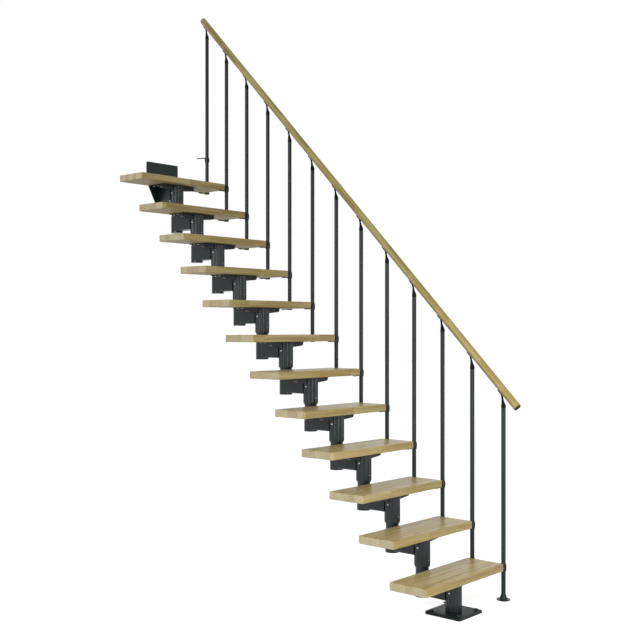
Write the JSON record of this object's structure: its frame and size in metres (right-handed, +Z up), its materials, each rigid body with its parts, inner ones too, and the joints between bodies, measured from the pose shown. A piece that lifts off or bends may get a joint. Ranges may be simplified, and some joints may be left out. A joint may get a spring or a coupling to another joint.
{
  "type": "mono stringer staircase",
  "caption": "Straight open staircase with oak treads on a single central stringer of fluted steel columns, with a round oak handrail on tubular steel balusters.",
  "frame": {"origin": "Centre of the base plate's underside, on the axis of the first column, at floor level.", "axes": "+Z up, +Y the direction of climbing, +X the climber's right, where the railing stands."},
  "size_m": [0.7685, 2.4935, 3.566],
  "materials": {
    "oak": "clear satin oil on light oak",
    "stringer_steel": "satin anthracite powder coat",
    "railing_steel": "satin anthracite powder coat",
    "black_plastic": "matt moulded end cap"
  },
  "bodies": {
    "root": {"tread_01": "oak", "tread_02": "oak", "tread_03": "oak", "tread_04": "oak", "tread_05": "oak", "tread_06": "oak", "tread_07": "oak", "tread_08": "oak", "tread_09": "oak", "tread_10": "oak", "tread_11": "oak", "tread_12": "oak", "column_01": "stringer_steel", "column_02": "stringer_steel", "column_03": "stringer_steel", "column_04": "stringer_steel", "column_05": "stringer_steel", "column_06": "stringer_steel", "column_07": "stringer_steel", "column_08": "stringer_steel", "column_09": "stringer_steel", "column_10": "stringer_steel", "column_11": "stringer_steel", "column_12": "stringer_steel", "bracket_01": "stringer_steel", "bracket_02": "stringer_steel", "bracket_03": "stringer_steel", "bracket_04": "stringer_steel", "bracket_05": "stringer_steel", "bracket_06": "stringer_steel", "bracket_07": "stringer_steel", "bracket_08": "stringer_steel", "bracket_09": "stringer_steel", "bracket_10": "stringer_steel", "bracket_11": "stringer_steel", "bracket_12": "stringer_steel", "base_plate": "stringer_steel", "floor_fixing_plate": "stringer_steel", "balusters": "railing_steel", "front_clamps": "railing_steel", "rear_clamps": "railing_steel", "rail_supports": "railing_steel", "baluster_foot": "railing_steel", "landing_clamp": "railing_steel", "handrail": "oak", "handrail_cap": "black_plastic"}
  },
  "joints": []
}
